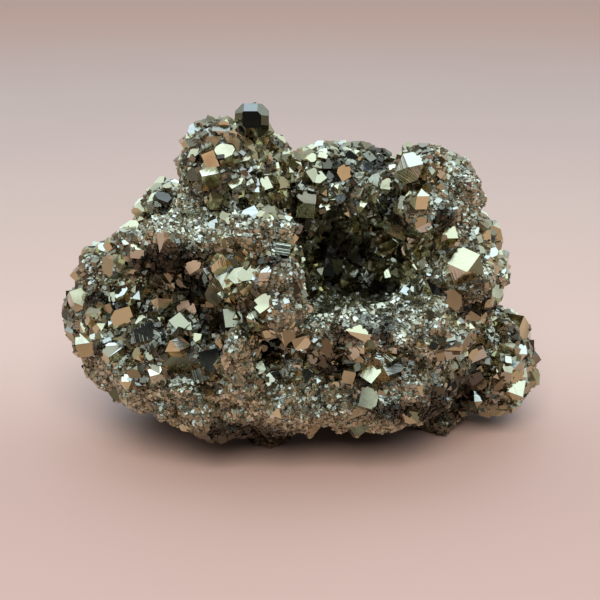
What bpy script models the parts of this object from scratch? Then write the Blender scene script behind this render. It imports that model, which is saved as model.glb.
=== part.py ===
"""A pyrite cluster: one natural mass of intergrown crystals, about 82 mm wide.

The mass is built the way it grew. Rounded lobes and boulders run together into one lumpy body,
pockets are sunk into it, and crystals are then seeded over the skin and joined to it. The whole
is one closed solid that stands on four low feet ground flat at the floor.
"""
import math
import random

import bmesh
import bpy
from mathutils import Matrix, Quaternion, Vector, noise
from mathutils.bvhtree import BVHTree

MM = 0.001

# Driving sizes, in millimetres unless said otherwise.
SKIN_VOXEL = 0.9
SKIN_TRIANGLES = 3350
SKIN_DEPTH = 0.7
LUMP_SIZE = 5.5
LUMP_HEIGHT = 1.8
CRYSTAL_COUNT = 75
CRYSTAL_SPACING = 4.4
CRYSTAL_HALF = (1.0, 1.8)
CRYSTAL_SUNK = 0.35
FACE_LUMP_SUNK = 0.4
FLAT_STANDS_OUT = 0.65  # how far a front crystal's flat stands before the skin, in half-widths
SEED = 3

# Each lobe of the mass: centre x, y, z, then radius along x, y, z.
LOBES = {
    "front_left": (-17.0, -2.0, 18.2, 18.6, 18.5, 11.6),
    "front_right": (12.5, -3.5, 15.5, 17.0, 18.5, 10.5),
    "front_centre": (-2.0, -4.0, 14.5, 10.0, 18.0, 10.0),
    "left_end": (-31.8, 3.0, 22.3, 8.5, 12.5, 10.5),
    "left_keel": (-13.0, -7.0, 11.5, 11.0, 13.0, 7.0),
    "left_top": (-32.2, 4.0, 29.8, 6.2, 8.0, 5.0),
    "left_base": (-29.0, 1.0, 14.5, 8.5, 11.0, 6.3),
    "right_end": (34.0, 7.0, 12.2, 9.0, 13.0, 10.2),
    "upper_right": (26.4, 4.0, 30.0, 9.5, 15.0, 11.5),
    "upper_right_top": (22.8, 4.5, 42.3, 9.0, 12.0, 8.8),
    "back_wall": (8.0, 16.0, 37.0, 14.5, 9.0, 13.5),
    "tower": (-13.0, 1.0, 45.0, 7.0, 8.5, 11.8),
    "tower_root": (-13.0, 0.0, 34.0, 13.5, 14.0, 9.0),
    "tower_right": (-6.5, 7.0, 43.0, 5.0, 6.0, 8.0),
    "knob": (-7.4, 7.0, 52.5, 3.3, 4.0, 5.0),
    "small_knob": (-3.2, 10.5, 48.0, 3.0, 3.5, 5.5),
    "shoulder": (-23.0, 8.0, 37.5, 5.4, 7.0, 6.8),
    "middle": (-7.0, -8.0, 32.0, 9.5, 12.0, 9.5),
    "ledge": (13.0, -14.0, 24.5, 17.0, 6.5, 4.5),
    "saddle": (-1.5, 13.5, 39.0, 8.0, 6.0, 8.5),
    "back_left": (-17.0, 12.0, 24.0, 17.0, 12.5, 14.5),
    "back_right": (17.0, 13.0, 20.0, 17.0, 12.5, 14.0),
    "base_left": (-17.0, 9.0, 9.5, 16.0, 12.0, 9.0),
    "base_right": (15.0, 11.0, 9.0, 18.0, 11.5, 8.5),
}

# Lumps that stand out of the mass: centre x, y, z and radius.
BOULDERS = {
    "ledge_cap": (-4.5, -14.0, 41.0, 4.8),
    "ledge_cap_left": (-10.0, -13.0, 40.0, 4.2),
    "high_boulder": (-3.0, -18.0, 35.0, 4.8),
    "low_boulder": (-2.0, -20.0, 30.5, 4.4),
    "front_rib": (-9.5, -19.5, 24.0, 4.6),
    "front_rib_foot": (-9.0, -19.5, 18.5, 4.0),
    "left_brow": (-26.0, -9.0, 36.0, 4.8),
    "left_brow_end": (-20.0, -12.5, 38.0, 4.4),
    "right_boulder": (22.0, -9.0, 30.0, 3.8),
    "right_corner": (28.5, -6.0, 29.5, 4.8),
    "upper_boulder": (21.5, -7.0, 42.0, 4.4),
    "upper_crown": (19.6, -3.0, 50.0, 3.8),
    "knob_top": (-7.3, 6.5, 55.6, 2.8),
    "foot": (-4.8, -3.0, 4.2, 5.2),
    "right_foot": (25.0, 4.0, 4.8, 6.2),
    "left_foot": (-21.0, 9.0, 5.5, 7.0),
    "back_foot": (9.0, 16.0, 5.5, 7.0),
}

# Pockets sunk into the mass: centre x, y, z, then radius along x, y, z.
HOLLOWS = {
    "main_hollow": (8.0, 0.0, 31.5, 9.0, 12.0, 9.0),
    "main_hollow_left": (4.2, -3.0, 31.0, 5.2, 10.0, 8.5),
    "main_hollow_deep": (6.0, 2.0, 27.0, 6.5, 9.5, 7.0),
    "hollow_right": (15.5, -4.0, 31.5, 5.0, 8.0, 4.0),
    "tower_gap": (1.0, -2.0, 43.0, 4.0, 9.5, 7.0),
    "left_hollow": (-22.0, -19.0, 32.0, 6.5, 8.5, 3.8),
    "left_hollow_low": (-14.0, -22.0, 27.0, 3.5, 8.0, 5.5),
    "left_hollow_end": (-17.0, -22.0, 18.5, 6.0, 5.0, 2.5),
    "left_pit": (-29.0, -17.0, 21.5, 4.0, 5.0, 2.5),
    "front_hollow": (4.0, -24.5, 19.0, 9.0, 5.0, 4.0),
    "ledge_slot": (16.0, -23.0, 20.5, 4.0, 5.0, 1.5),
    "right_gap": (26.5, -8.0, 7.5, 2.5, 9.0, 5.0),
    "crown_gap": (13.0, -2.0, 47.0, 2.5, 9.0, 5.0),
}

# Lumps and crystals of the front face. Each is set where the straight line from the front point
# through (x, z) on the middle plane meets the skin.
FRONT_POINT = (0.0, -190.2, 87.1)

# Lumps: x, z, radius, and whether only fine grains grow on it.
FACE_LUMPS = {
    "left_rim": (-34.0, 30.7, 2.8, False),
    "left_knob": (-27.7, 27.5, 3.0, True),
    "shoulder_foot": (-28.3, 36.6, 1.9, True),
    "brow_left": (-22.5, 37.5, 3.2, True),
    "brow_right": (-16.0, 36.3, 3.2, True),
    "cap_left": (-7.1, 37.3, 3.2, True),
    "cap_right": (-1.7, 37.7, 2.5, True),
    "grey_lump": (-8.2, 27.8, 1.9, True),
    "under_cap": (-2.7, 30.3, 3.0, True),
    "dark_lump": (-2.9, 23.1, 3.3, True),
    "rose": (-10.4, 16.9, 2.4, True),
    "left_brown": (-19.8, 18.4, 2.4, False),
    "crest_left": (3.8, 25.3, 2.4, True),
    "crest_middle": (10.7, 23.1, 2.5, True),
    "crest_right": (17.9, 24.2, 2.7, True),
    "crest_end": (24.1, 22.8, 2.4, True),
    "ledge_face": (7.8, 20.2, 2.2, True),
    "mushroom": (18.2, 18.0, 1.9, True),
    "front_right_lump": (19.7, 9.8, 3.2, True),
    "front_right_low": (14.9, 12.1, 1.9, False),
    "brown_lump": (23.1, 27.8, 2.7, True),
    "corner_lump": (30.4, 27.8, 3.5, True),
    "pale_lump": (16.7, 29.6, 1.9, False),
    "hollow_lump": (12.7, 34.5, 2.7, True),
    "upper_lump": (20.2, 41.5, 3.2, False),
    "upper_side": (26.9, 44.9, 2.8, True),
    "side_lump": (29.9, 38.0, 2.2, True),
    "crown_lump": (21.8, 49.3, 3.0, True),
    "upper_dark": (18.6, 35.6, 2.1, False),
    "tower_foot": (-18.0, 41.8, 2.7, True),
    "tower_top_left": (-14.4, 53.0, 2.2, False),
    "tower_top_right": (-11.0, 53.4, 2.0, False),
    "tower_middle": (-10.8, 46.9, 2.1, False),
    "fringe_1": (-28.2, 7.1, 2.5, True),
    "fringe_2": (-22.6, 5.2, 2.4, True),
    "fringe_3": (-16.8, 4.5, 2.7, True),
    "fringe_4": (-10.1, 4.1, 2.5, True),
    "fringe_5": (-3.5, 5.2, 2.5, True),
    "fringe_6": (3.2, 5.2, 2.4, True),
    "fringe_7": (9.2, 5.2, 2.5, True),
    "fringe_8": (15.9, 5.2, 2.4, True),
    "end_upper": (36.0, 19.8, 2.7, False),
    "end_lower": (36.7, 12.8, 2.7, False),
    "end_low": (32.1, 7.1, 2.4, False),
    "end_inner": (27.4, 16.9, 2.2, True),
}

# How many corners a kind of crystal lost, and how near to its middle the cuts may come.
CRYSTAL_KINDS = {
    "cube": (0.35, 1.3, 1.55),
    "clipped_cube": (0.75, 1.2, 1.5),
    "cuboctahedron": (1.0, 1.02, 1.24),
}
SHAPES_PER_KIND = 5

# Larger crystals: x, z, half-width, then the bearing and rise in degrees of the flat it shows, its
# turn about that direction, and its shape.
FACE_CRYSTALS = {
    "tower_flat": (-14.6, 48.2, 1.6, 5, 61, 15, "cube"),
    "tower_pale": (-11.8, 51.3, 1.7, -12, 52, 35, "clipped_cube"),
    "tower_side": (-17.0, 50.9, 1.2, -35, 48, 60, "cuboctahedron"),
    "tower_brown": (-14.2, 49.6, 1.2, 10, 2, 20, "cube"),
    "tower_low": (-13.3, 43.7, 1.2, 15, 58, 50, "cuboctahedron"),
    "tower_olive": (-5.6, 45.6, 1.4, 30, 35, 10, "cube"),
    "knob_flat": (-7.2, 56.6, 2.5, 0, 50, 40, "cuboctahedron"),
    "gap_striped": (1.7, 43.5, 1.8, 8, 58, 80, "cube"),
    "gap_pale": (5.0, 42.0, 1.2, -10, 55, 30, "clipped_cube"),
    "wall_flat": (11.0, 42.3, 1.2, 3, 61, 12, "cuboctahedron"),
    "wall_tan": (7.9, 47.6, 1.2, 5, 0, 30, "cube"),
    "wall_olive": (15.1, 45.7, 1.5, -30, 30, 45, "cuboctahedron"),
    "wall_grey": (13.8, 39.2, 1.4, 15, 42, 20, "cube"),
    "crown": (19.3, 49.9, 2.0, 10, 60, 55, "cuboctahedron"),
    "crown_side": (16.2, 48.2, 1.1, -10, 60, 10, "cube"),
    "upper_tan": (20.9, 42.5, 1.3, 10, 2, 40, "cuboctahedron"),
    "upper_low_tan": (21.2, 38.7, 1.1, 0, -8, 10, "clipped_cube"),
    "right_striped": (25.6, 37.5, 1.5, 20, 48, 85, "cube"),
    "right_large": (28.3, 32.8, 2.4, -12, 52, 20, "cuboctahedron"),
    "right_foot_tan": (26.6, 25.3, 1.5, 15, 2, 5, "cube"),
    "hollow_tan": (18.0, 30.3, 1.4, 20, 8, 50, "cuboctahedron"),
    "hollow_pale": (15.8, 30.3, 1.1, -20, 50, 20, "cube"),
    "hollow_slab": (9.5, 35.1, 1.0, -25, 52, 35, "cube"),
    "hollow_gold": (8.5, 29.4, 1.4, 15, 40, 15, "cuboctahedron"),
    "hollow_olive": (12.9, 31.4, 1.1, 10, 20, 30, "cuboctahedron"),
    "cap_flat": (-7.8, 40.4, 1.5, -5, 47, 30, "clipped_cube"),
    "cap_prism": (-2.4, 34.5, 1.1, 5, 30, 80, "cube"),
    "under_cap_tan": (-5.4, 29.6, 1.3, -10, 2, 40, "cuboctahedron"),
    "pyramid": (-5.5, 25.1, 1.6, -8, 50, 45, "cube"),
    "pyramid_low": (-7.1, 22.6, 1.5, 5, 46, 20, "cuboctahedron"),
    "long_tan": (-5.5, 20.6, 2.2, -5, -2, 12, "cube"),
    "long_tan_right": (-1.4, 19.8, 1.6, 25, 0, 30, "clipped_cube"),
    "left_flat": (-36.7, 18.6, 1.7, -10, 60, 15, "cube"),
    "left_flat_low": (-32.0, 16.7, 1.5, 0, 60, 45, "clipped_cube"),
    "left_tan": (-30.0, 22.0, 2.0, -15, 3, 20, "clipped_cube"),
    "left_tan_high": (-22.3, 24.6, 1.7, 15, 2, 40, "cuboctahedron"),
    "left_tan_mid": (-18.9, 23.7, 1.6, -10, 5, 15, "cube"),
    "left_pale": (-17.6, 26.0, 1.2, 5, 60, 30, "cube"),
    "left_navy": (-26.5, 19.5, 1.5, 0, 28, 10, "cube"),
    "brow_tan": (-17.5, 31.5, 1.2, 10, 0, 30, "clipped_cube"),
    "navy_high": (-15.0, 14.3, 1.5, 10, 26, 10, "cube"),
    "navy": (-16.3, 12.1, 1.7, -10, 28, 25, "cube"),
    "front_spark": (-24.8, 12.8, 1.2, 0, 60, 20, "cube"),
    "front_spark_left": (-29.6, 11.1, 1.1, -8, 60, 50, "cuboctahedron"),
    "low_white": (-15.5, 8.5, 1.1, 5, 60, 10, "cube"),
    "centre_tan": (0.9, 17.5, 1.3, -8, 0, 20, "cube"),
    "centre_tan_right": (5.2, 16.9, 1.2, 12, 2, 50, "clipped_cube"),
    "centre_white": (-4.0, 14.9, 1.0, 0, 60, 30, "cube"),
    "mushroom_white": (14.6, 15.2, 1.1, 0, 59, 15, "cuboctahedron"),
    "mushroom_side": (16.4, 15.6, 1.0, -10, 60, 50, "cube"),
    "slab_left": (12.9, 12.4, 1.5, -30, 48, 70, "cube"),
    "slab_right": (16.8, 13.2, 1.5, 20, 52, 10, "cube"),
    "end_white": (38.9, 16.5, 1.4, 20, 57, 30, "cuboctahedron"),
    "end_tan": (31.3, 15.4, 1.4, 0, 0, 25, "cube"),
    "end_olive": (31.9, 17.3, 1.2, -20, 20, 60, "cube"),
}


def clear_scene():
    for obj in list(bpy.data.objects):
        bpy.data.objects.remove(obj)


def new_object(name, bm, collection):
    mesh = bpy.data.meshes.new(name)
    bm.to_mesh(mesh)
    bm.free()
    obj = bpy.data.objects.new(name, mesh)
    collection.objects.link(obj)
    return obj


def apply_modifiers(obj):
    """Keeps what the modifiers make as the object's own mesh."""
    bpy.context.view_layer.update()
    graph = bpy.context.evaluated_depsgraph_get()
    made = bpy.data.meshes.new_from_object(obj.evaluated_get(graph))
    obj.modifiers.clear()
    obj.data = made


def hide_helper(obj):
    obj.hide_render = True
    obj.display_type = "WIRE"


def add_ball(bm, centre, radii, detail=3):
    """Adds one ellipsoid, given in millimetres, to the mesh."""
    size = Matrix.Diagonal((*(radius * MM for radius in radii), 1))
    place = Matrix.Translation(Vector(centre) * MM) @ size
    bmesh.ops.create_icosphere(bm, subdivisions=detail, radius=1.0, matrix=place)


def fuse(obj):
    """Runs overlapping balls together into one even skin."""
    remesh = obj.modifiers.new("fuse", "REMESH")
    remesh.mode = "VOXEL"
    remesh.voxel_size = SKIN_VOXEL * MM
    apply_modifiers(obj)


def roughen(obj):
    """Draws the skin in a little and raises rounded lumps on it."""
    for vertex, normal in [(v, v.normal.copy()) for v in obj.data.vertices]:
        nearest = noise.voronoi(vertex.co / (LUMP_SIZE * MM))[0][0]
        vertex.co += normal * MM * (LUMP_HEIGHT * (0.5 - nearest) - SKIN_DEPTH)


def skin_of(obj):
    """The object's surface, ready to be met by straight lines."""
    mesh = obj.data
    return BVHTree.FromPolygons([v.co for v in mesh.vertices], [p.vertices for p in mesh.polygons])


def meet_from_front(skin, x, z):
    """Where the line from the front point through (x, z) meets the skin: place, normal, direction."""
    start = Vector(FRONT_POINT) * MM
    direction = (Vector((x, 0, z)) * MM - start).normalized()
    point, normal, _, _ = skin.ray_cast(start, direction)
    return point, normal, direction


def add_face_lumps(mass):
    skin = skin_of(mass)
    bm = bmesh.new()
    bm.from_mesh(mass.data)
    for x, z, radius, _ in FACE_LUMPS.values():
        point, _, direction = meet_from_front(skin, x, z)
        middle = point / MM + direction * radius * FACE_LUMP_SUNK
        add_ball(bm, middle, (radius,) * 3, detail=2)
    bm.to_mesh(mass.data)
    bm.free()


def make_mass(collection, helpers):
    bm = bmesh.new()
    for lobe in LOBES.values():
        add_ball(bm, lobe[:3], lobe[3:])
    for x, y, z, radius in BOULDERS.values():
        add_ball(bm, (x, y, z), (radius,) * 3, detail=2)
    mass = new_object("pyrite_cluster", bm, collection)
    fuse(mass)

    bm = bmesh.new()
    for hollow in HOLLOWS.values():
        add_ball(bm, hollow[:3], hollow[3:])
    cutter = new_object("hollows", bm, helpers)
    hide_helper(cutter)
    fuse(cutter)
    cut = mass.modifiers.new("hollows", "BOOLEAN")
    cut.operation = "DIFFERENCE"
    cut.object = cutter
    apply_modifiers(mass)
    fuse(mass)
    add_face_lumps(mass)
    fuse(mass)
    roughen(mass)

    thin = mass.modifiers.new("thin", "DECIMATE")
    thin.ratio = SKIN_TRIANGLES / (2 * len(mass.data.polygons))
    apply_modifiers(mass)
    return mass


def crystal_shape(name, corner_share, nearest, farthest, rng):
    """A cube of half-width 1 that lost some corners, each at its own distance from the middle."""
    bm = bmesh.new()
    bmesh.ops.create_cube(bm, size=2.0)
    corners = [Vector((x, y, z)).normalized() for x in (-1, 1) for y in (-1, 1) for z in (-1, 1)]
    for direction in rng.sample(corners, round(8 * corner_share)):
        distance = rng.uniform(nearest, farthest)
        cut = bmesh.ops.bisect_plane(
            bm, geom=bm.verts[:] + bm.edges[:] + bm.faces[:], dist=1e-5,
            plane_co=direction * distance, plane_no=direction, clear_outer=True)
        rim = [item for item in cut["geom_cut"] if isinstance(item, bmesh.types.BMEdge)]
        bmesh.ops.contextual_create(bm, geom=rim)
    bmesh.ops.recalc_face_normals(bm, faces=bm.faces[:])
    mesh = bpy.data.meshes.new(name)
    bm.to_mesh(mesh)
    bm.free()
    return mesh


def add_crystal(bm, shape, middle, turn, half, stretch):
    """Joins a copy of a crystal shape into the mesh."""
    copy = shape.copy()
    place = Matrix.Translation(middle) @ turn.to_matrix().to_4x4()
    copy.transform(place @ Matrix.Diagonal((*(half * side for side in stretch), 1)))
    bm.from_mesh(copy)
    bpy.data.meshes.remove(copy)


def flat_direction(bearing, rise):
    """The direction a flat looks in: bearing 0 is the front, rise is its angle above level."""
    across, up = math.radians(bearing), math.radians(rise)
    return Vector((math.sin(across) * math.cos(up), -math.cos(across) * math.cos(up), math.sin(up)))


def random_turn(rng):
    """A turn in which every direction is equally likely."""
    share, first, second = rng.random(), rng.uniform(0, 2 * math.pi), rng.uniform(0, 2 * math.pi)
    low, high = math.sqrt(1 - share), math.sqrt(share)
    return Quaternion((
        low * math.sin(first), low * math.cos(first), high * math.sin(second), high * math.cos(second)))


def scatter(mesh, taken, fine_lumps, rng):
    """Points spread over the skin with their normals, clear of each other, of the taken ones and
    of the fine-grained lumps."""
    mesh.calc_loop_triangles()
    triangles = [[mesh.vertices[i].co for i in t.vertices] for t in mesh.loop_triangles]
    normals = [t.normal.copy() for t in mesh.loop_triangles]
    areas = [t.area for t in mesh.loop_triangles]
    taken = list(taken)
    chosen = []
    for index in rng.choices(range(len(triangles)), areas, k=CRYSTAL_COUNT * 60):
        a, b, c = triangles[index]
        s, t = math.sqrt(rng.random()), rng.random()
        point = a * (1 - s) + b * (s * (1 - t)) + c * (s * t)
        clear = all((point - other).length > CRYSTAL_SPACING * MM for other in taken)
        if clear and all((point - middle).length > reach for middle, reach in fine_lumps):
            taken.append(point)
            chosen.append((point, normals[index]))
        if len(chosen) == CRYSTAL_COUNT:
            break
    return chosen


def make_crystals(mass, helpers):
    rng = random.Random(SEED)
    shapes = {}
    for kind, (share, nearest, farthest) in CRYSTAL_KINDS.items():
        shapes[kind] = [
            crystal_shape(f"{kind}_{n}", share, nearest, farthest, rng) for n in range(SHAPES_PER_KIND)]
    skin = skin_of(mass)
    bm = bmesh.new()
    taken, fine_lumps = [], []
    for x, z, radius, fine in FACE_LUMPS.values():
        point, _, direction = meet_from_front(skin, x, z)
        if fine:
            fine_lumps.append((point + direction * radius * MM, radius * 1.35 * MM))
    for x, z, half, bearing, rise, spin, shape in FACE_CRYSTALS.values():
        point, _, direction = meet_from_front(skin, x, z)
        flat = flat_direction(bearing, rise)
        middle = point - (direction * FLAT_STANDS_OUT + flat) * half * MM
        stretch = (rng.uniform(0.85, 1.15), rng.uniform(0.75, 1.25), 1.0)
        turn = flat.to_track_quat("Z", "Y") @ Quaternion((0, 0, 1), math.radians(spin))
        add_crystal(bm, rng.choice(shapes[shape]), middle, turn, half * MM, stretch)
        taken.append(point)
    for point, normal in scatter(mass.data, taken, fine_lumps, rng):
        half = rng.uniform(*CRYSTAL_HALF) * MM
        middle = point - normal * half * CRYSTAL_SUNK
        stretch = (rng.uniform(0.8, 1.25), rng.uniform(0.8, 1.25), 1.0)
        shape = rng.choice(shapes[rng.choice(list(shapes))])
        add_crystal(bm, shape, middle, random_turn(rng), half, stretch)
    crystals = new_object("crystals", bm, helpers)
    hide_helper(crystals)
    return crystals


def make_floor_cut(helpers):
    """The block below the floor that grinds the feet flat."""
    bm = bmesh.new()
    place = Matrix.Translation((0, 0, -0.02)) @ Matrix.Diagonal((0.2, 0.2, 0.04, 1))
    bmesh.ops.create_cube(bm, size=1.0, matrix=place)
    block = new_object("floor_cut", bm, helpers)
    hide_helper(block)
    return block


def keep_largest(obj):
    """Removes closed pockets and loose chips, leaving one outside skin."""
    bm = bmesh.new()
    bm.from_mesh(obj.data)
    waiting = set(bm.verts)
    bodies = []
    while waiting:
        body = []
        queue = [waiting.pop()]
        while queue:
            vertex = queue.pop()
            body.append(vertex)
            for edge in vertex.link_edges:
                other = edge.other_vert(vertex)
                if other in waiting:
                    waiting.remove(other)
                    queue.append(other)
        bodies.append(body)
    bodies.sort(key=len)
    for body in bodies[:-1]:
        bmesh.ops.delete(bm, geom=body, context="VERTS")
    bm.to_mesh(obj.data)
    bm.free()


def centre(obj):
    """Puts the middle of the box on the upright axis."""
    xs = [v.co.x for v in obj.data.vertices]
    ys = [v.co.y for v in obj.data.vertices]
    obj.data.transform(Matrix.Translation((-(min(xs) + max(xs)) / 2, -(min(ys) + max(ys)) / 2, 0)))


def pyrite():
    material = bpy.data.materials.new("pyrite")
    material.use_nodes = True
    shader = material.node_tree.nodes["Principled BSDF"]
    shader.inputs["Base Color"].default_value = (0.42, 0.34, 0.21, 1)
    shader.inputs["Metallic"].default_value = 1.0
    shader.inputs["Roughness"].default_value = 0.22
    return material


clear_scene()
collection = bpy.data.collections.new("pyrite_specimen")
helpers = bpy.data.collections.new("cutters")
bpy.context.scene.collection.children.link(collection)
bpy.context.scene.collection.children.link(helpers)
mass = make_mass(collection, helpers)
crystals = make_crystals(mass, helpers)
floor_cut = make_floor_cut(helpers)
for name, operation, other in (("crystals", "UNION", crystals), ("feet", "DIFFERENCE", floor_cut)):
    step = mass.modifiers.new(name, "BOOLEAN")
    step.operation = operation
    step.use_self = operation == "UNION"
    step.object = other
apply_modifiers(mass)
keep_largest(mass)
centre(mass)
mass.data.materials.clear()
mass.data.materials.append(pyrite())
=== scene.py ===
# %% [markdown]
# # A pyrite cluster
# Pyrite grows as hundreds of small metal-bright crystals that run into one another. The packed
# model holds the mass with its larger crystals. This notebook dresses it: a metal finish for the
# mass, then a crust of grains and thousands of small crystals grown over its skin, then the table
# and the light.

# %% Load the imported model
import math
import random
import time

import bmesh
import bpy
from mathutils import Matrix, Quaternion, Vector, noise
from mathutils.bvhtree import BVHTree
from mathutils.kdtree import KDTree


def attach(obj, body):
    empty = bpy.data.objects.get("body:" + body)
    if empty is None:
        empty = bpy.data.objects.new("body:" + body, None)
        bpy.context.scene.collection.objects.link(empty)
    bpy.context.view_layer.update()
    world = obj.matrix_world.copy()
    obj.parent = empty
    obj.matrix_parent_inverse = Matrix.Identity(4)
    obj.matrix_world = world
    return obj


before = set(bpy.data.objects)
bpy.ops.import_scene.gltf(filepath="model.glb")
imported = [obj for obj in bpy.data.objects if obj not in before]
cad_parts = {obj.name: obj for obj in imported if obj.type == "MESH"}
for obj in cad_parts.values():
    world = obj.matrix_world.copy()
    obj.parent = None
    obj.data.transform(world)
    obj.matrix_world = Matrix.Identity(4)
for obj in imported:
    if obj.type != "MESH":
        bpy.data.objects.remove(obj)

MM = 0.001
# Without a seed of its own, vector noise starts from the clock and differs on every run.
noise.seed_set(7)
began = time.time()
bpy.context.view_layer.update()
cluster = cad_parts["pyrite_cluster"]

# %% [markdown]
# ## Shader maths as plain expressions
# A finish is a small calculation that is done at every point of the surface. Wrapping a socket in
# a class with operators lets that calculation be written as one line of Python, and each operator
# adds its own Math node behind the scenes. All other nodes come from one method, so that a finish
# reads as a list of what it does instead of a list of links.

# %% A socket that can be added, multiplied and compared
class Value:
    """One output of a node, whose value varies over the surface."""

    def __init__(self, finish, socket):
        self.finish = finish
        self.socket = socket

    def _math(self, operation, *values):
        return self.finish.node("ShaderNodeMath", {"operation": operation}, *values)

    def other(self, output):
        """Another output of the same node."""
        return Value(self.finish, self.socket.node.outputs[output])

    def __add__(self, other):
        return self._math("ADD", self, other)

    __radd__ = __add__

    def __mul__(self, other):
        return self._math("MULTIPLY", self, other)

    __rmul__ = __mul__

    def __gt__(self, other):
        return self._math("GREATER_THAN", self, other)


# %% A sheet of nodes
class Graph:
    """Nodes of one material or of the room."""

    def __init__(self, tree):
        self.tree = tree

    def node(self, kind, settings=None, *values, output=0, **named):
        """Adds a node, sets it up, fills its sockets and returns one output."""
        made = self.tree.nodes.new(kind)
        for key, setting in (settings or {}).items():
            if key == "stops":
                self.set_stops(made.color_ramp.elements, setting)
            else:
                setattr(made, key, setting)
        for key, value in list(enumerate(values)) + list(named.items()):
            key = key.replace("_", " ") if isinstance(key, str) else key
            self.fill(made.inputs[key], value)
        return Value(self, made.outputs[output])

    def set_stops(self, points, stops):
        """Gives a colour ramp its stops, which are pairs of place and colour."""
        while len(points) < len(stops):
            points.new(0.5)
        for point, (place, colour) in zip(points, stops):
            point.position = place
            point.color = (*colour, 1)

    def fill(self, socket, value):
        """Links a value to a socket, or sets the socket to a plain number or vector."""
        if isinstance(value, Value):
            self.tree.links.new(value.socket, socket)
        else:
            socket.default_value = value

    def vector(self, operation, *values, output=0, **named):
        """A Vector Math node, for places, directions and their lengths."""
        return self.node("ShaderNodeVectorMath", {"operation": operation}, *values,
                         output=output, **named)

    def spread(self, value, low, high, start=0.0, end=1.0):
        """Stretches low..high softly to start..end."""
        return self.node("ShaderNodeMapRange", {"interpolation_type": "SMOOTHSTEP"},
                         value, low, high, start, end)

    def mix(self, factor, first, second):
        """A colour between two colours, which are the Mix node's inputs 6 and 7."""
        mixed = self.node("ShaderNodeMix", {"data_type": "RGBA"}, factor, output=2)
        for socket, colour in zip(mixed.socket.node.inputs[6:8], (first, second)):
            self.fill(socket, colour if isinstance(colour, Value) else (*colour, 1))
        return mixed


class Finish(Graph):
    """A material and the nodes it is made of."""

    def __init__(self, name):
        self.material = bpy.data.materials.new(name)
        self.material.use_nodes = True
        super().__init__(self.material.node_tree)
        self.shader = self.tree.nodes["Principled BSDF"]

    def wear(self, socket, value):
        """Feeds one socket of the surface."""
        self.fill(self.shader.inputs[socket], value)


# %% [markdown]
# ## The metal of the crystals
# Pyrite is a pale brass metal. Every flat face is a small mirror, so most of the look comes from
# what it reflects. Four things keep it from looking like plastic: each face has its own slight
# tint, many faces carry fine growth stripes that all run one way, the shine changes in soft
# patches, and crystals deep in a pocket are darkened by painted shade. A painted texture wrapped
# round the mass would smear over its thousands of faces, so all four are worked out from each
# face's own direction and place instead.

# %% The colours of pyrite
BRASS = [(0.0, (0.16, 0.125, 0.075)), (0.2, (0.57, 0.50, 0.29)), (0.6, (0.65, 0.59, 0.37)),
         (1.0, (0.56, 0.55, 0.46))]
CRUST = [(0.0, (0.28, 0.24, 0.155)), (0.45, (0.56, 0.505, 0.335)), (0.8, (0.70, 0.64, 0.45)),
         (1.0, (0.74, 0.73, 0.61))]
TARNISH = (0.20, 0.14, 0.085)
# DEEP_SHADE is the colour of painted shade, where little light is left.
DEEP_SHADE = (0.045, 0.036, 0.025)
print("brass runs from", BRASS[0][1], "to", BRASS[-1][1])

# %% [markdown]
# ## Stripes and tints that belong to one face
# Growth stripes need a direction that lies in the face. The cross product of the face's normal with
# any other direction gives one. The normal is first snapped to coarse steps, so that every point of
# one face draws the same random number and with it the same tint and the same stripes.

# %% The pyrite finish
def growth_stripes(metal, place, facet, chance):
    """Fine ridges that run one way across a face."""
    any_way = metal.vector("SUBTRACT", chance.other("Color"), (0.5, 0.5, 0.5))
    along = metal.vector("NORMALIZE", metal.vector("CROSS_PRODUCT", facet, any_way))
    across = metal.vector("DOT_PRODUCT", place, along, output="Value")
    return metal.node("ShaderNodeTexNoise", {"noise_dimensions": "1D"},
                      W=across * 2.2 + chance * 50, Scale=1.0, Detail=2.0, Roughness=0.6)


def pyrite_finish(name, colours, stripe_share, stripe_height, shine, stain, rough, pockets=None):
    """Pyrite metal with painted shade; its light comes from a function of the place, or from the
    mesh's openness.
    """
    metal = Finish(name)
    place = metal.vector("SCALE", metal.node("ShaderNodeTexCoord", output="Object"), Scale=1 / MM)
    normal = metal.node("ShaderNodeNewGeometry", output="True Normal")
    facet = metal.vector("SNAP", normal, (0.02, 0.02, 0.02))
    chance = metal.node("ShaderNodeTexWhiteNoise", {"noise_dimensions": "3D"}, Vector=facet)
    ripples = metal.node("ShaderNodeTexNoise", {}, Vector=place, Scale=0.45, Detail=2.0)
    grain = metal.node("ShaderNodeTexNoise", {}, Vector=place, Scale=3.5, Detail=3.0)
    patches = metal.node("ShaderNodeTexNoise", {}, Vector=place, Scale=0.12, Detail=3.0)

    own_tint = metal.node("ShaderNodeValToRGB", {"stops": colours}, chance)
    tint = metal.mix(metal.spread(patches, 0.52, 0.75, 0.0, stain), own_tint, TARNISH)
    if pockets:
        light = pockets(metal, place)
    else:
        light = metal.node("ShaderNodeAttribute", {"attribute_name": "openness"}, output="Fac")
    # Painted shade: where the light is low, the colour is mixed toward DEEP_SHADE.
    metal.wear("Base Color", metal.mix(light, DEEP_SHADE, tint))
    metal.wear("Roughness", grain * 0.10 + patches * 0.10 + shine)
    metal.wear("Metallic", 1.0)

    stripes = growth_stripes(metal, place, facet, chance)
    striped = chance > (1 - stripe_share)
    height = ripples * 0.05 + stripes * striped * stripe_height + grain * rough
    bump = metal.node("ShaderNodeBump", {}, Height=height, Distance=0.001, Strength=1.0)
    metal.wear("Normal", bump)
    return metal.material
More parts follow.
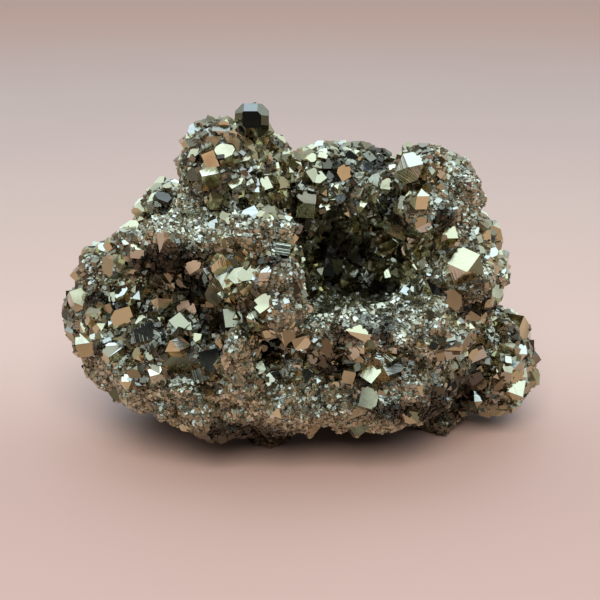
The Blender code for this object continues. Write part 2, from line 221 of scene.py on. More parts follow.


# %% [markdown]
# ## Light in the pockets of the mass
# Little light finds its way out of a real pocket, so shade is painted into the colour there. On the
# small crystals that is measured later, one crystal at a time. The mass is one mesh that must stay
# as it is, so its finish is painted darker with the nearness to the middle of each pocket.

# %% Finishes for the mass, the crystals and the crust
# Pockets of painted shade: middle x, y, z, the reach of the dark in mm, and the share of light
# left.
POCKETS = {
    "main_hollow": (6.0, 0.0, 29.0, 9.0, 0.25),
    "left_hollow": (-23.0, -16.0, 31.5, 6.5, 0.1),
    "left_hollow_low": (-15.5, -18.0, 26.5, 5.5, 0.15),
    "left_hollow_end": (-18.5, -19.0, 18.0, 4.5, 0.3),
    "tower_gap": (0.0, 1.0, 42.0, 6.0, 0.35),
    "front_hollow": (6.0, -20.0, 15.5, 5.0, 0.5),
    "ledge_slot": (15.0, -20.0, 20.0, 3.0, 0.2),
    "right_gap": (25.0, -8.0, 7.5, 6.0, 0.2),
}


def light_in_pockets(metal, place):
    """Painted shade: 1 on the open skin, less inside each pocket."""
    light = 1.0
    for x, y, z, reach, left in POCKETS.values():
        away = metal.vector("DISTANCE", place, (x, y, z), output="Value")
        light = metal.spread(away, reach * 0.6, reach * 1.1, left, 1.0) * light
    return light


mass_metal = pyrite_finish("pyrite_mass", BRASS, stripe_share=0.5, stripe_height=0.055,
                           shine=0.04, stain=0.5, rough=0.004, pockets=light_in_pockets)
crystal_metal = pyrite_finish("pyrite_crystals", BRASS, stripe_share=0.35, stripe_height=0.02,
                              shine=0.04, stain=0.5, rough=0.004)
crust_metal = pyrite_finish("pyrite_crust", CRUST, stripe_share=0.0, stripe_height=0.0,
                            shine=0.16, stain=0.6, rough=0.04)
for slot in cluster.material_slots:
    slot.material = mass_metal
print("finishes:", mass_metal.name, crystal_metal.name, crust_metal.name)

# %% [markdown]
# ## Crystal shapes
# Pyrite's plainest crystal is a cube. Cutting the corners gives faces with six or three sides, and
# cutting deeper gives the cuboctahedron. Each is made once, from a cube that flat cuts go through,
# and then copied hundreds of times. A few cuts more, through the edges too, give a rounded crystal.

# %% Cut a cube into a crystal
CORNERS = [Vector((x, y, z)).normalized() for x in (-1, 1) for y in (-1, 1) for z in (-1, 1)]
EDGES = [Vector(way).normalized() for a in (-1, 1) for b in (-1, 1)
         for way in ((a, b, 0), (a, 0, b), (0, a, b))]


def crystal_shape(name, corner_share, nearest, farthest, rng, ways=CORNERS):
    """A cube of half-width 1 that lost a share of its corners, each cut at its own distance."""
    bm = bmesh.new()
    bmesh.ops.create_cube(bm, size=2.0)
    for direction in rng.sample(ways, round(len(ways) * corner_share)):
        distance = rng.uniform(nearest, farthest)
        cut = bmesh.ops.bisect_plane(
            bm, geom=bm.verts[:] + bm.edges[:] + bm.faces[:], dist=1e-5,
            plane_co=direction * distance, plane_no=direction, clear_outer=True)
        rim = [item for item in cut["geom_cut"] if isinstance(item, bmesh.types.BMEdge)]
        bmesh.ops.contextual_create(bm, geom=rim)
    bmesh.ops.recalc_face_normals(bm, faces=bm.faces[:])
    mesh = bpy.data.meshes.new(name)
    bm.to_mesh(mesh)
    bm.free()
    return mesh


shape_rng = random.Random(2)
cube = crystal_shape("cube", 0, 1, 1, shape_rng)
crystal_shapes = [cube]
for kind, corner_share, nearest, farthest in (
        ("nicked_cube", 0.35, 1.3, 1.55), ("clipped_cube", 0.75, 1.2, 1.5),
        ("cuboctahedron", 1.0, 1.02, 1.24)):
    for number in range(6):
        crystal_shapes.append(
            crystal_shape(f"{kind}_{number}", corner_share, nearest, farthest, shape_rng))
ball = crystal_shape("ball", 1.0, 1.05, 1.14, shape_rng, CORNERS + EDGES)
print(len(crystal_shapes), "shapes of", [len(m.polygons) for m in crystal_shapes], "faces")

# %% [markdown]
# ## Where crystals may grow
# The mass is a mesh of loose triangles, so a merged copy is used to find its flat crystal faces.
# Triangles that lie in one plane belong together. A face is a crystal's when much of its rim is a
# sharp outward edge, and those stay clear. The rest is rough skin, which the small crystals cover.

# %% Sort the mass into crystal faces and skin
SAME_PLANE = 0.9999
SHARP_EDGE = math.radians(48)
CLEAR_AREA = 1.0 * MM * MM
CLEAR_SHARE = 0.4


def flat_groups(bm):
    """Lists of neighbouring triangles that lie in one plane, in the same order on every run."""
    seen = set()
    groups = []
    for first in bm.faces:
        if first in seen:
            continue
        seen.add(first)
        group = [first]
        for face in group:
            for edge in face.edges:
                for other in edge.link_faces:
                    if other not in seen and other.normal.dot(face.normal) > SAME_PLANE:
                        seen.add(other)
                        group.append(other)
        groups.append(group)
    return groups


def sharp_share(group):
    """How much of a group's rim is a sharp outward edge."""
    inside = set(group)
    rim = [e for f in group for e in f.edges if any(o not in inside for o in e.link_faces)]
    sharp = [e for e in rim if e.is_manifold and e.calc_face_angle_signed() > SHARP_EDGE]
    return sum(e.calc_length() for e in sharp) / max(sum(e.calc_length() for e in rim), 1e-9)


skin_bm = bmesh.new()
skin_bm.from_mesh(cluster.data)
bmesh.ops.remove_doubles(skin_bm, verts=skin_bm.verts[:], dist=1e-6)
skin_bm.normal_update()
flats = []
for group in flat_groups(skin_bm):
    area = sum(face.calc_area() for face in group)
    clear = area > CLEAR_AREA and sharp_share(group) > CLEAR_SHARE
    for face in group:
        face.material_index = int(clear)
    if clear:
        centre = sum((f.calc_center_median() * f.calc_area() for f in group), Vector()) / area
        flats.append((centre, group[0].normal.copy(), math.sqrt(area / math.pi)))
skin_tree = BVHTree.FromBMesh(skin_bm)
flat_tree = KDTree(len(flats))
for index, (centre, _, _) in enumerate(flats):
    flat_tree.insert(centre, index)
flat_tree.balance()
print(len(flats), "crystal faces")

# %% [markdown]
# ## How open a place is
# Light hardly reaches the bottom of a pocket, so shade is painted there. Fourteen feelers are
# sent out from a place, and the share of them that gets away tells how open it is. A rendered
# shadow could do that too, but the metal mirrors the room and hides its own shadows.

# %% Feelers for pockets
FEELER_REACH = 9.0 * MM
FEELERS = [Vector(way).normalized() for way in (
    (0, 0, 1), (1, 0, 1), (-1, 0, 1), (0, 1, 1), (0, -1, 1), (1, 1, 0.7), (1, -1, 0.7),
    (-1, 1, 0.7), (-1, -1, 0.7), (0.5, 0.2, 1), (-0.5, -0.2, 1), (-0.2, 0.5, 1), (0.2, -0.5, 1),
    (0.9, 0.3, 0.5))]


def soft_step(value, low, high):
    """0 below low, 1 above high, and a soft bend between them."""
    share = min(max((value - low) / (high - low), 0.0), 1.0)
    return share * share * (3 - 2 * share)


def openness(point, normal):
    """0 at the bottom of a pocket, 1 where two thirds of the feelers meet nothing."""
    turn = normal.to_track_quat("Z", "Y")
    start = point + normal * 0.5 * MM
    free = sum(skin_tree.ray_cast(start, turn @ way, FEELER_REACH)[0] is None for way in FEELERS)
    return soft_step(free / len(FEELERS), 0.0, 0.65)


print(len(FEELERS), "feelers")


# %% [markdown]
# ## Coarse and fine ground
# Druse is never even. In the sheltered hollows the crystals had room and grew large; on ridges,
# caps and along the foot they crowd into a fine crust that follows the form like crumpled foil.
# Noise alone would mix the two anywhere. So the fine grounds of the front are ovals on an upright
# middle plane, seen from a point before the cluster, and only round the back a slow noise decides.

# %% Where the ground is fine
# The point that the front is seen from, in mm before it is scaled.
FRONT_POINT = Vector((-1.0, -190.2, 87.1)) * MM
# Ovals of finer ground: middle x and z, half-widths along x and z in mm, and coarseness 0 to 1.
FINE_GROUND = {
    "brow": (-21.2, 36.3, 8.2, 4.2, 0.1),
    "caps": (-6.4, 36.6, 7.1, 3.5, 0.1),
    "under_cap": (-3.2, 29.6, 5.4, 3.6, 0.2),
    "dark_lump": (-1.8, 24.2, 4.0, 3.4, 0.1),
    "crest": (13.5, 24.2, 12.4, 2.6, 0.08),
    "ledge_face": (13.5, 19.8, 15.0, 2.9, 0.08),
    "rib": (-10.8, 15.8, 3.1, 5.1, 0.1),
    "plate": (19.2, 12.1, 6.3, 5.9, 0.25),
    "fringe_left": (-22.9, 6.0, 12.3, 4.9, 0.15),
    "fringe": (0.0, 3.5, 21.0, 6.6, 0.15),
    "fringe_right": (20.4, 4.0, 8.1, 5.5, 0.15),
    "corner": (27.2, 28.5, 7.4, 4.5, 0.15),
    "upper_edge": (27.1, 42.0, 3.7, 7.7, 0.3),
    "upper_low": (21.4, 40.4, 3.7, 3.2, 0.35),
    "tower_middle": (-17.9, 42.2, 4.0, 3.6, 0.12),
    "tower_foot": (-12.6, 40.3, 5.0, 2.8, 0.4),
    "left_rim": (-34.0, 30.7, 6.5, 2.9, 0.35),
    "left_low": (-34.6, 12.0, 5.4, 5.0, 0.3),
    "crown": (21.5, 48.8, 6.6, 3.5, 0.4),
    "right_top": (35.3, 22.0, 4.5, 2.9, 0.35),
}


def from_front(point, normal):
    """Where a place on the front is seen on the middle plane, or nothing for the other sides."""
    sight = point - FRONT_POINT
    if sight.dot(normal) > 0.2 * sight.length:
        return None
    seen = FRONT_POINT + sight * (-FRONT_POINT.y / sight.y)
    return (seen.x - FRONT_POINT.x) / MM, seen.z / MM


def coarseness(point, normal):
    """0 where only fine grains grow, 1 where the crystals are large."""
    slow = noise.noise(point * 75) + 0.4 * noise.noise(point * 210)
    seen = from_front(point, normal)
    if not seen:
        return soft_step(slow, -0.12, 0.12)
    coarse = 1.0
    for x, z, wide, tall, grade in FINE_GROUND.values():
        reach = math.hypot((seen[0] - x) / wide, (seen[1] - z) / tall)
        coarse = min(coarse, grade + (1 - grade) * soft_step(reach + slow * 0.25, 0.85, 1.2))
    return coarse


print(len(FINE_GROUND), "fine grounds")

# %% [markdown]
# ## Silver ground and deep shade
# On some ledges and caps nearly all facets lean up and mirror the bright ceiling, which makes the
# ground there look silver. A lean up is added to the way those crystals face. In the cracks and
# under the overhangs the reverse holds: there painted shade darkens the crystals, on top of what
# the feelers measured, and near the table too, where the gap below the foot is dark.

# %% Where the ground is silver
# Ovals of the front whose facets lean up to the light: middle x and z, half-widths in mm.
SILVER_GROUND = {
    "tower": (-12.3, 52.3, 4.8, 5.2),
    "cap_top": (-8.6, 42.4, 2.8, 1.8),
    "left_rim": (-35.5, 30.6, 7.0, 3.6),
    "back_ledge": (2.2, 43.3, 4.2, 2.0),
    "crown": (19.2, 50.5, 4.8, 3.8),
    "upper_edge": (28.3, 43.3, 3.2, 6.5),
    "corner": (29.5, 32.9, 4.4, 2.6),
    "plate": (16.8, 14.3, 7.0, 4.6),
    "crest": (14.6, 24.8, 9.2, 2.2),
    "crest_left": (1.7, 24.4, 3.6, 2.6),
    "right_end": (36.9, 19.0, 3.2, 4.8),
    "cap_low": (-3.4, 31.5, 3.0, 2.0),
}
STEEPEST_LEAN = 1.05


def leaning(spot):
    """The way a facet looks: its own, or up toward the light where the ground is silver."""
    seen = from_front(spot.point, spot.out)
    lean = 0.0
    for x, z, wide, tall in SILVER_GROUND.values() if seen else ():
        reach = math.hypot((seen[0] - x) / wide, (seen[1] - z) / tall)
        lean = max(lean, 1 - soft_step(reach, 0.7, 1.2))
    return (spot.facing + Vector((0, 0, STEEPEST_LEAN * lean))).normalized(), lean


print(len(SILVER_GROUND), "silver grounds")

# %% Where the ground lies in shade
# Ovals of the front that get painted deep shade: middle x and z, half-widths along x and z in mm.
DARK_GROUND = {
    "under_brow": (-22.4, 32.6, 6.6, 3.2),
    "back_left": (5.7, 47.8, 3.0, 2.2),
    "back_right": (13.0, 49.1, 2.2, 3.0),
    "crown_gap": (24.0, 39.4, 1.8, 2.8),
    "crown_under": (17.1, 38.8, 2.0, 2.0),
    "hollow_left": (5.1, 34.7, 2.8, 5.0),
    "corner_gap": (23.1, 27.0, 2.5, 1.3),
    "under_right": (19.7, 4.6, 8.0, 2.2),
    "under_left": (-10.3, 0.6, 10.0, 2.4),
    "under_brow_right": (-17.6, 28.0, 3.1, 2.2),
    "left_crack": (-16.2, 20.6, 1.4, 3.1),
    "left_low_crack": (-22.6, 16.2, 4.5, 1.3),
    "left_gap": (-34.6, 16.2, 1.7, 1.3),
    "left_rim_under": (-35.0, 25.3, 3.4, 0.9),
    "brow_pit": (-24.0, 31.6, 3.6, 2.2),
    "brow_pit_low": (-17.9, 27.2, 3.4, 1.7),
    "hollow_floor": (12.3, 27.6, 5.1, 1.8),
    "hollow_middle": (8.5, 33.8, 3.4, 2.8),
    "hollow_side": (6.0, 29.2, 2.0, 1.8),
    "tower_gap": (0.3, 38.0, 1.5, 3.0),
    "slot": (14.9, 19.3, 1.2, 3.3),
    "front_pocket": (6.1, 13.2, 4.5, 2.2),
    "dark_gap": (24.1, 7.1, 1.9, 2.6),
    "dark_gap_right": (29.2, 9.0, 3.9, 4.1),
    "end_pit": (36.9, 18.8, 0.9, 1.1),
    "tower_pit": (-9.7, 41.8, 1.3, 1.2),
    "tower_shade": (-14.3, 50.3, 1.6, 0.9),
    "shoulder_shade": (-22.4, 42.0, 1.2, 2.1),
    "cap_crack": (-5.4, 32.1, 3.7, 0.9),
    "rib_crack": (-13.4, 21.7, 1.2, 2.9),
    "crown_shade": (15.3, 42.8, 1.5, 4.2),
    "corner_under": (30.6, 23.9, 4.5, 1.1),
    "crest_under": (10.2, 19.1, 4.6, 1.7),
    "knob_shade": (-8.1, 57.5, 2.0, 1.0),
}
# Painted shade near the table: half the light below FOOT_LOW, all of it above FOOT_HIGH.
FOOT_LOW, FOOT_HIGH = 1.0 * MM, 11.0 * MM


def shade(point, normal):
    """How much light the painted shade of the front and near the table leaves, from 0 to 1."""
    light = 0.5 + 0.5 * soft_step(point.z, FOOT_LOW, FOOT_HIGH)
    seen = from_front(point, normal)
    for x, z, wide, tall in DARK_GROUND.values() if seen else ():
        reach = math.hypot((seen[0] - x) / wide, (seen[1] - z) / tall)
        light = light * (0.06 + 0.94 * soft_step(reach, 0.6, 1.25))
    return light


print(len(DARK_GROUND), "shaded grounds")

# %% [markdown]
# ## The crust between the crystals
# Between the crystals the skin is a crust of grains too small to make one by one. A displacement
# in the material would not reach the exported mesh, so the crust is a mesh of its own. It starts as
# a thin closed slab over the skin: a copy of the skin that is extruded, with the under side sunk
# into the mass. Corners where two patches only just touch are parted first, because an extrusion
# through them would leave open edges. Extruding lists the new walls in no fixed order, so edges and
# facets are sorted by where they lie, and every run lays the same crust.

# %% The slab below the crust
SORT_WAY = Vector((1.0, 1.7320508, 2.6457513))
SHORTEST_EDGE = 0.08 * MM
SINK = 0.3
ON_TOP = 0.99


def put_in_order(bm):
    """Sorts edges and facets by where they lie."""
    bm.edges.sort(key=lambda edge: (edge.verts[0].co + edge.verts[1].co).dot(SORT_WAY))
    bm.faces.sort(key=lambda face: face.calc_center_median().dot(SORT_WAY))


def skin_slab(belongs):
    """Part of the skin between the large crystals as a thin slab.

    Each corner notes the way out, whether it may lift, how open it is, and if it is on top.
    """
    bm = skin_bm.copy()
    way = bm.verts.layers.float_vector.new("way")
    lift = bm.verts.layers.float.new("lift")
    light = bm.verts.layers.float.new("openness")
    top = bm.verts.layers.float.new("top")
    for vert in bm.verts:
        vert[way] = vert.normal
        vert[lift] = 0.0 if any(face.material_index for face in vert.link_faces) else 1.0
        vert[light] = openness(vert.co, vert.normal)
    left_out = [f for f in bm.faces if f.material_index or not belongs(f.calc_center_median())]
    bmesh.ops.delete(bm, geom=left_out, context="FACES")
    bmesh.ops.dissolve_degenerate(bm, dist=SHORTEST_EDGE, edges=bm.edges[:])
    bmesh.ops.triangulate(bm, faces=bm.faces[:])
    for vert in bm.verts[:]:
        rim = [edge for edge in vert.link_edges if edge.is_boundary]
        if len(rim) > 2:
            bmesh.utils.vert_separate(vert, rim)
    bmesh.ops.delete(bm, geom=[v for v in bm.verts if not v.link_faces], context="VERTS")
    under = bm.verts[:]
    raised = bmesh.ops.extrude_face_region(bm, geom=bm.faces[:], use_keep_orig=True)["geom"]
    for vert in under:
        vert.co -= vert[way] * SINK * MM
    for vert in raised:
        if isinstance(vert, bmesh.types.BMVert):
            vert[top] = 1.0
    put_in_order(bm)
    bmesh.ops.recalc_face_normals(bm, faces=bm.faces[:])
    return bm


# %% [markdown]
# ## Facets and lumps
# The slab's top is cut by halving its long edges a few times, until a facet is about half a
# millimetre wide. Then each corner is raised by noise: lumps of two millimetres, finer folds on
# them, and low steps that run level, as growth layers do. The lift fades to nothing toward each
# large crystal, so those stay clear. Painted light is noted on each corner, with painted shade
# that makes it less in the dips, less between coarse crystals, and less in the shade ovals and
# near the table.

# %% Cut the slab into facets
def cut_facets(bm, facet):
    """Halves the long edges of the top until the facets are small."""
    top = bm.verts.layers.float["top"]
    for _ in range(5):
        long_edges = [e for e in bm.edges if e.calc_length() > facet
                      and e.verts[0][top] > ON_TOP and e.verts[1][top] > ON_TOP]
        bmesh.ops.subdivide_edges(bm, edges=long_edges, cuts=1)
        bmesh.ops.triangulate(bm, faces=[face for face in bm.faces if len(face.verts) > 3])


def drop_twins(bm):
    """Deletes facets that lie on one another, back to back."""
    same = {}
    for face in bm.faces:
        same.setdefault(frozenset(face.verts), []).append(face)
    twins = [face for faces in same.values() if len(faces) > 1 for face in faces]
    bmesh.ops.delete(bm, geom=twins, context="FACES")
    print(len(twins), "twin facets out, open edges:", sum(not e.is_manifold for e in bm.edges))


# %% Raise the facets
# Share of the light that painted shade takes away between the crystals of the coarse ground.
COARSE_DIM = 0.45
LOWEST = 0.05 * MM


def crust_height(point):
    """How far the crust stands up at a place, in mm."""
    nearest, second = noise.voronoi(point / (4.0 * MM))[0][:2]
    lumps = soft_step(second - nearest, 0.0, 0.45)
    folds = noise.noise(point / (1.6 * MM)) + 0.7 * noise.noise(point / (0.7 * MM))
    layer = Vector((point.x / 1.5, point.y / 1.5, point.z / 0.5)) / MM
    return 0.65 * lumps + 0.3 * folds + 0.2 * noise.noise(layer)


def raise_crust(bm):
    """Lifts the corners on top and notes the painted light of each."""
    way, lift, light, top = (bm.verts.layers.float_vector["way"], bm.verts.layers.float["lift"],
                             bm.verts.layers.float["openness"], bm.verts.layers.float["top"])
    for vert in bm.verts:
        if vert[top] > ON_TOP:
            height = crust_height(vert.co)
            shake = noise.noise_vector(vert.co / (0.31 * MM)) * 0.16
            out = vert[way].normalized()
            coarse = coarseness(vert.co, out)
            # Painted shade: the shade ovals, the table, the dips and the coarse ground lower the
            # light.
            vert[light] *= shade(vert.co, out) * (0.35 + 0.65 * soft_step(height, -0.2, 0.35))
            vert[light] *= 1 - COARSE_DIM * coarse
            raised = out * max(height, 0.0) * (1 - 0.5 * coarse) + shake
            vert.co += (out * 0.03 + raised * vert[lift]) * MM
            vert.co.z = max(vert.co.z, LOWEST)


# %% Lay the crust in two parts
PARTING = 4 * MM


def lay_crust(facet, belongs):
    """The crust over the part of the skin that belongs, still open to measuring."""
    bm = skin_slab(belongs)
    cut_facets(bm, facet)
    drop_twins(bm)
    raise_crust(bm)
    bm.normal_update()
    return bm


crusts = {"crust_front": lay_crust(0.5 * MM, lambda middle: middle.y < PARTING),
          "crust_back": lay_crust(0.6 * MM, lambda middle: middle.y >= PARTING)}
crust_faces = []
for name, bm in crusts.items():
    way, light, top = (bm.verts.layers.float_vector["way"], bm.verts.layers.float["openness"],
                       bm.verts.layers.float["top"])
    crust_faces += [(face, way, light) for face in bm.faces
                    if all(vert[top] > ON_TOP for vert in face.verts)]
    print(name, len(bm.faces), "facets")
crust_areas = [face.calc_area() for face, _, _ in crust_faces]
print(f"{sum(crust_areas) / MM / MM:.0f} square mm of crust, {time.time() - began:.0f} s")

# %% [markdown]
# ## Spots to grow from
# Each crystal needs a spot on the crust. Facets are drawn by their area, so that large and small
# facets are covered alike, and a spot is dropped when another one stands too near. To find those
# near it fast, spots are kept in a grid of cells, and only the 27 cells round a spot are searched.

# %% Scatter spots over the crust
WIDEST_FLAT = 3.2 * MM
KEPT_CLEAR = 0.85


class Spot:
    """A random point of one facet: the way out of the skin, the facet's own way, and its light."""

    def __init__(self, face, way, light, rng):
        s, t = math.sqrt(rng.random()), rng.random()
        shares = list(zip(face.verts, (1 - s, s * (1 - t), s * t)))
        self.point = sum((vert.co * share for vert, share in shares), Vector())
        self.out = sum((vert[way] * share for vert, share in shares), Vector()).normalized()
        self.facing = face.normal.copy()
        self.coarse = coarseness(self.point, self.out)
        dimmed = sum(vert[light] * share for vert, share in shares)
        self.light = dimmed / (1 - COARSE_DIM * self.coarse)


def scatter(count, cell_size, rng, gap_at):
    """Spots on the crust, each as far from the others as the ground there asks for."""
    cells, spots = {}, []
    for face, way, light in rng.choices(crust_faces, crust_areas, k=count):
        spot = Spot(face, way, light, rng)
        gap = gap_at(spot) * MM
        if gap <= 0:
            continue
        cell = tuple(int(v // cell_size) for v in spot.point)
        near = [p for i in (-1, 0, 1) for j in (-1, 0, 1) for k in (-1, 0, 1)
                for p in cells.get((cell[0] + i, cell[1] + j, cell[2] + k), ())]
        if all((spot.point - p).length > gap for p in near):
            cells.setdefault(cell, []).append(spot.point)
            spots.append(spot)
    return spots


def covers_flat(point, half):
    """Whether a crystal here would hide one of the large crystals' faces."""
    for centre, index, distance in flat_tree.find_range(point, WIDEST_FLAT):
        _, normal, reach = flats[index]
        if distance < reach * KEPT_CLEAR + half and (point - centre).dot(normal) > -half:
            return True
    return False


# %% [markdown]
# ## Growing the crystals
# Each crystal is a copy of one shape, turned, a little stretched, and sunk into the skin. Large
# ones stand at any angle; fine grains lie close to the skin, so light still draws the form below
# them. The copies are joined into one mesh, because thousands of separate objects would be slow to
# handle and particles would be lost in the export. A turn is random in every direction only if it
# is drawn evenly from all quaternions, which three random numbers do.

# %% Turn, place and join crystals
def random_turn(rng):
    """A turn drawn evenly from all turns."""
    share, first, second = rng.random(), rng.uniform(0, math.tau), rng.uniform(0, math.tau)
    low, high = math.sqrt(1 - share), math.sqrt(share)
    return Quaternion((low * math.sin(first), low * math.cos(first),
                       high * math.sin(second), high * math.cos(second)))


def lying_turn(normal, lean, rng):
    """A turn with one flat near the skin, leaning by a few tens of degrees."""
    side = rng.uniform(0, math.tau)
    axis = Vector((math.cos(side), math.sin(side), 0))
    tilt = Quaternion(axis, math.radians(rng.gauss(0, lean)))
    spin = Quaternion((0, 0, 1), rng.uniform(0, math.tau))
    return normal.to_track_quat("Z", "Y") @ tilt @ spin


class Growth:
    """One mesh of many crystals, with the painted light of each kept on its faces as openness."""

    def __init__(self, name):
        self.name = name
        self.bm = bmesh.new()
        self.light = []

    def add(self, shape, middle, turn, half, stretch, light):
        """Joins one more crystal to the mesh."""
        copy = shape.copy()
        size = Matrix.Diagonal((half * stretch[0], half * stretch[1], half, 1))
        copy.transform(Matrix.Translation(middle) @ turn.to_matrix().to_4x4() @ size)
        self.bm.from_mesh(copy)
        self.light.extend([light] * len(copy.polygons))
        bpy.data.meshes.remove(copy)

    def finish(self, metal):
        """Turns the growth into a piece of the cluster."""
        mesh = bpy.data.meshes.new(self.name)
        self.bm.to_mesh(mesh)
        self.bm.free()
        mesh.attributes.new("openness", "FLOAT", "FACE").data.foreach_set("value", self.light)
        mesh.materials.append(metal)
        piece = bpy.data.objects.new(self.name, mesh)
        bpy.context.scene.collection.objects.link(piece)
        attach(piece, "root")
        mesh.calc_loop_triangles()
        print(f"{self.name}: {len(mesh.loop_triangles)} triangles, {time.time() - began:.0f} s")


# %% [markdown]
# ## The rounded crystal on the tower
# One large crystal stands on the tower's tip. Its faces are small and many, so it looks nearly
# round, and painted shade makes it darker than its neighbours. Its place is found by sending a ray
# at the tip and going a little into the skin there.

# %% Find the tower's tip
KNOB_HALF = 2.8 * MM
KNOB_SINK = 1.2
# The light that painted shade leaves on the rounded crystal.
KNOB_LIGHT = 0.3
knob_way = (Vector((-7.8, 0, 56.0)) * MM - Vector((0, FRONT_POINT.y, FRONT_POINT.z))).normalized()
KNOB = skin_tree.ray_cast(FRONT_POINT, knob_way)[0] + knob_way * KNOB_SINK * MM
print("rounded crystal at", [round(v / MM, 1) for v in KNOB])

# %% [markdown]
# ## The crystals of the coarse ground
# A triangular draw gives many middling crystals and few very large ones, as in a real druse. They
# keep off the faces of the large crystals and off the table, and grow only where the painted shade
# leaves some light.

# %% Grow the crystals
# Half-widths in mm: the smallest, the largest and the most usual.
CRYSTAL_HALF = (0.55, 1.5, 0.9)
CRYSTAL_TRIES = 70000


def grow_crystals():
    rng = random.Random(5)
    growth = Growth("small_crystals")

    def gap_at(spot):
        return 0 if spot.coarse < 0.35 or spot.light < 0.06 else 0.68 + 0.65 * spot.coarse

    spots = scatter(CRYSTAL_TRIES, 1.6 * MM, rng, gap_at)
    for spot in spots:
        half = rng.triangular(*CRYSTAL_HALF) * (0.35 + 0.65 * spot.coarse) * MM
        low = spot.point.z < 2.1 * half
        if low or covers_flat(spot.point, half) or (spot.point - KNOB).length < KNOB_HALF + half:
            continue
        facing, lean = leaning(spot)
        turn = lying_turn(facing, 15, rng) if rng.random() < lean * 0.8 else random_turn(rng)
        shape = rng.choice(crystal_shapes)
        stretch = (rng.uniform(0.7, 1.3), rng.uniform(0.7, 1.3))
        middle = spot.point - spot.out * half * rng.uniform(0.3, 0.85)
        # The crystal's colour carries the painted shade of its spot.
        growth.add(shape, middle, turn, half, stretch, 0.04 + 0.96 * spot.light)
    growth.add(ball, KNOB, Quaternion((1, 0, 0), -0.26), KNOB_HALF, (1, 1), KNOB_LIGHT)
    print(len(spots), "places for crystals")
    growth.finish(crystal_metal)


grow_crystals()

# %% [markdown]
# ## The grains
# The fine ground is covered with grains of a quarter to half a millimetre that nearly lie flat, and
# the same grains fill the dark gaps between the crystals of the coarse ground. They are plain
# cubes, because at that size nobody sees a clipped corner. Three pieces share them, so that no
# mesh grows too large to export whole.

# %% Grow the grains
GRAIN_HALF = (0.13, 0.33, 0.2)
GRAIN_TRIES = 200000
GRAIN_PIECES = 3


def grow_grains():
    rng = random.Random(6)

    def gap_at(spot):
        return 0 if spot.point.z < 1.0 * MM else 0.36 + 0.5 * spot.coarse

    spots = scatter(GRAIN_TRIES, 0.9 * MM, rng, gap_at)
    print(len(spots), "grains")
    for part in range(GRAIN_PIECES):
        growth = Growth(f"grains_{part + 1}")
        for spot in spots[part::GRAIN_PIECES]:
            half = rng.triangular(*GRAIN_HALF) * (1 + 0.6 * spot.coarse) * MM
            if covers_flat(spot.point, half * 0.3) or (spot.point - KNOB).length < KNOB_HALF:
                continue
            stretch = (rng.uniform(0.7, 1.5), rng.uniform(0.7, 1.5))
            middle = spot.point - spot.out * half * rng.uniform(0.2, 0.6)
            facing, lean = leaning(spot)
            turn = lying_turn(facing, 25 - 10 * lean, rng)
            # Painted shade: grains in pockets, in the shade ovals and between coarse crystals are
            # dimmed.
            light = (0.04 + 0.96 * spot.light) * (1 - COARSE_DIM * spot.coarse)
            growth.add(cube, middle, turn, half, stretch, light)
        growth.finish(crust_metal)


grow_grains()

# %% [markdown]
# ## The crust becomes a piece
# The crust was kept open until now, because the crystals were set on its facets. Its notes on each
# corner are dropped, apart from the openness, which holds its painted light and shade and which
# the finish reads as an attribute.

# %% Turn the crust into meshes
def finish_crust(name, bm):
    """Turns one part of the crust into a piece of the cluster."""
    for layer in ("lift", "top"):
        bm.verts.layers.float.remove(bm.verts.layers.float[layer])
    bm.verts.layers.float_vector.remove(bm.verts.layers.float_vector["way"])
    mesh = bpy.data.meshes.new(name)
    bm.to_mesh(mesh)
    bm.free()
    mesh.materials.append(crust_metal)
    crust = bpy.data.objects.new(name, mesh)
    bpy.context.scene.collection.objects.link(crust)
    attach(crust, "root")
    print(f"{name}: {len(mesh.polygons)} triangles, {time.time() - began:.0f} s")


for name, bm in crusts.items():
    finish_crust(name, bm)
skin_bm.free()

# %% [markdown]
# ## The table, the light and the camera
# Metal shows what stands round it. A pale rosy table gives the lower faces their tan, a bright
# ceiling gives the upper ones their silver, and a dim room gives the dark faces between them. The
# table is one flat disc, so wide that its rim lies at the horizon. Close to the front of the
# cluster its colour is painted darker, as shade, and the lower faces mirror that darker rose; far
# off it is deeper again.

# %% The table
TABLE_RADIUS = 60.0
# NEAR_ROSE is painted shade: a darker rose on the table just before the cluster.
NEAR_ROSE = ((0.225, 0.148, 0.117), (0.252, 0.17, 0.138))
PALE_ROSE = ((0.29, 0.203, 0.16), (0.325, 0.234, 0.188))
FAR_ROSE = (0.355, 0.19, 0.123)


def build_table():
    """A wide table top at height nought, with soft clouds in its colour."""
    bm = bmesh.new()
    bmesh.ops.create_circle(bm, cap_ends=True, segments=96, radius=TABLE_RADIUS)
    mesh = bpy.data.meshes.new("table")
    bm.to_mesh(mesh)
    bm.free()
    table = bpy.data.objects.new("table", mesh)
    bpy.context.scene.collection.objects.link(table)
    top = Finish("table_top")
    place = top.node("ShaderNodeTexCoord", output="Object")
    clouds = top.node("ShaderNodeTexNoise", {}, Vector=place, Scale=6.0, Detail=2.0)
    parts = top.node("ShaderNodeSeparateXYZ", {}, place)
    forward = parts.other("Y")
    pale = top.mix(clouds, *PALE_ROSE)
    near = top.mix(clouds, *NEAR_ROSE)
    # Painted shade: the table is darker just before the cluster.
    front = top.mix(top.spread(forward, -0.03, 0.06), near, pale)
    reach = top.vector("LENGTH", place, output="Value")
    top.wear("Base Color", top.mix(top.spread(reach, 0.35, 1.0), front, FAR_ROSE))
    top.wear("Roughness", 0.7)
    mesh.materials.append(top.material)
    print(f"table of {TABLE_RADIUS:.0f} m round the cluster")


build_table()

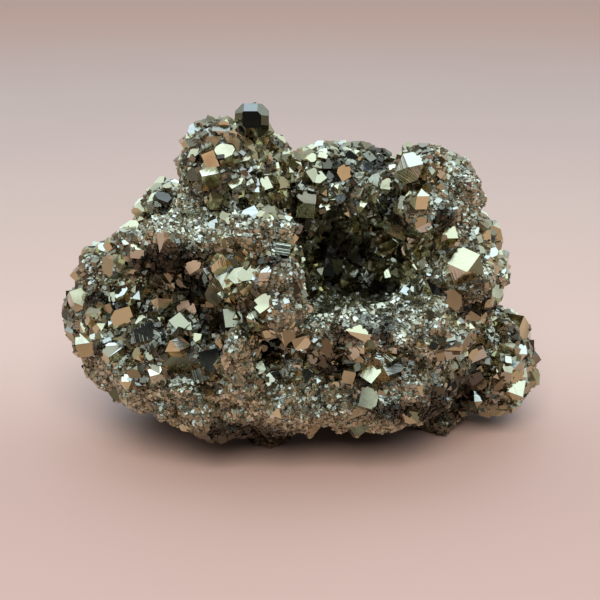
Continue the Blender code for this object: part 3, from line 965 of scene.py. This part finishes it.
# %% [markdown]
# ## The room
# The mirror faces need a room to show, yet nobody looks at the room itself. So it isn't modelled:
# the world draws it from the direction alone. Walls run from dim before the cluster to pale behind
# it, the ceiling is bright, a lamp glows in it, and the one who looks is a dark patch. Two soft
# boxes add the light for the table and the duller faces. They are hidden from mirror faces, which
# would show them as hard white squares.

# %% The room and the soft boxes
DIM_WALL, PALE_WALL = (0.168, 0.162, 0.148), (0.51, 0.50, 0.462)
CEILING = (1.42, 1.85, 2.34)
LAMP_GLOW, LAMP_WAY = (2.0, 2.62, 3.55), (-0.06, 0.22, 0.97)
ONLOOKER, ONLOOKER_WAY = (0.028, 0.034, 0.052), (0.0, -0.82, 0.57)


def light_room():
    """The room as colours of the sky."""
    world = bpy.data.worlds.new("room")
    bpy.context.scene.world = world
    world.use_nodes = True
    room = Graph(world.node_tree)
    way = room.node("ShaderNodeTexCoord", output="Generated")
    parts = room.node("ShaderNodeSeparateXYZ", {}, way)
    height = parts.other("Z")
    behind = parts.other("Y")
    walls = room.mix(room.spread(behind, -0.6, 0.6), DIM_WALL, PALE_WALL)
    ceiling = room.mix(room.spread(height, 0.30, 0.85), walls, CEILING)
    lamp = room.vector("DOT_PRODUCT", way, LAMP_WAY, output="Value")
    lit = room.mix(room.spread(lamp, 0.965, 0.985), ceiling, LAMP_GLOW)
    onlooker = room.vector("DOT_PRODUCT", way, ONLOOKER_WAY, output="Value")
    whole = room.mix(room.spread(onlooker, 0.92, 0.96), lit, ONLOOKER)
    room.fill(room.tree.nodes["Background"].inputs["Color"], whole)


def soft_box(name, place, size, power, colour):
    """A rectangle of light that looks at the cluster, unseen in mirror faces."""
    lamp = bpy.data.lights.new(name, "AREA")
    lamp.shape = "RECTANGLE"
    lamp.size, lamp.size_y = size
    lamp.energy = power
    lamp.color = colour
    light = bpy.data.objects.new(name, lamp)
    light.location = place
    light.rotation_mode = "QUATERNION"
    light.rotation_quaternion = (Vector(place) - Vector((0, 0, 0.03))).to_track_quat("Z", "Y")
    light.visible_glossy = False
    bpy.context.scene.collection.objects.link(light)
    print(f"{name}: {power} W")


light_room()
soft_box("ceiling_light", (-0.06, 0.2, 0.9), (0.6, 0.5), 1.2, (0.86, 0.95, 1.04))
soft_box("front_fill", (0.0, -0.57, 0.56), (0.5, 0.4), 15.2, (1.0, 0.97, 0.95))

# %% [markdown]
# ## The camera
# It stands close, 20 cm from the cluster, and looks down a little. So near, the front of the
# cluster looks clearly larger than its back. The colours are shown as they are, without a film
# look, so that the pale table stays pale.

# %% The camera
RISE = math.radians(18)
TARGET = Vector((-0.001, 0.0, 0.0253))
DISTANCE = 0.2
camera = bpy.data.objects.new("camera", bpy.data.cameras.new("camera"))
bpy.context.scene.collection.objects.link(camera)
bpy.context.scene.camera = camera
camera.data.lens = 70
camera.data.sensor_width = 36
camera.data.clip_start = 0.01
away = Vector((0, -math.cos(RISE), math.sin(RISE)))
camera.location = TARGET + away * DISTANCE
camera.rotation_mode = "QUATERNION"
camera.rotation_quaternion = away.to_track_quat("Z", "Y")
bpy.context.scene.view_settings.view_transform = "Standard"
print("camera at", [round(v, 3) for v in camera.location])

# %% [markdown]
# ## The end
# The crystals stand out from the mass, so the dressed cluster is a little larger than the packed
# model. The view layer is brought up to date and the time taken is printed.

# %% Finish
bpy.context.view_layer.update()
print(f"built in {time.time() - began:.0f} s")
